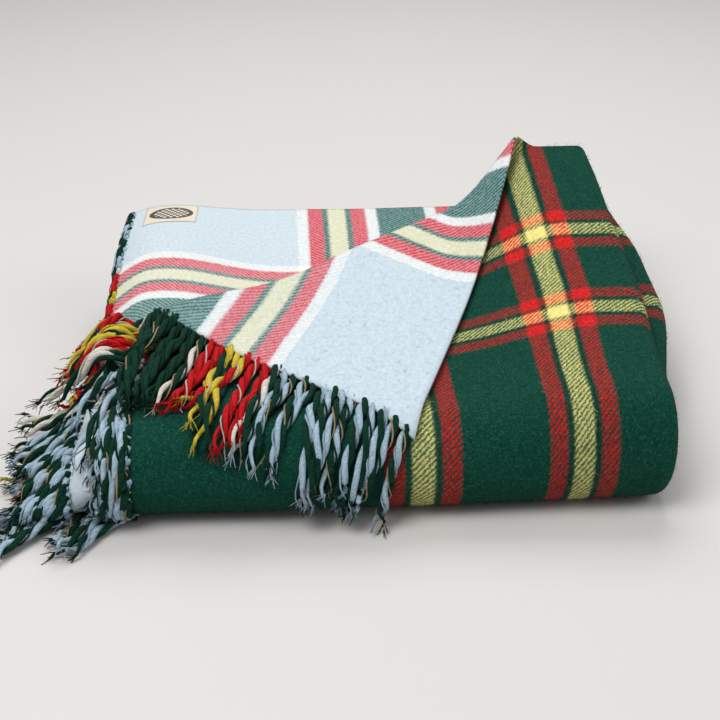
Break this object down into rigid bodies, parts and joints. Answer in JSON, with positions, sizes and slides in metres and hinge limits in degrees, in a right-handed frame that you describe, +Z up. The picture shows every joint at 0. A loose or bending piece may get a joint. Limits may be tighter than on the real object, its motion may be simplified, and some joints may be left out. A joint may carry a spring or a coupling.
{
  "type": "travel rug",
  "caption": "Folded double-faced tartan travel rug, green with a pale blue back, one corner turned over, with twisted fringes and a sewn label.",
  "frame": {"origin": "under the middle of the folded rug's whole outline, fringes included, on the face it rests on", "axes": "+X from the fringed end to the folded end, +Y from the front roll to the back, +Z up"},
  "size_m": [0.6066, 0.4992, 0.1698],
  "materials": {
    "brushed_wool": "brushed, dull",
    "wool_yarn": "twisted, dull",
    "woven_label": "woven, dull"
  },
  "bodies": {
    "root": {"rug_cloth": "brushed_wool", "fringe_top": "wool_yarn", "fringe_under": "wool_yarn", "label": "woven_label"}
  },
  "joints": []
}
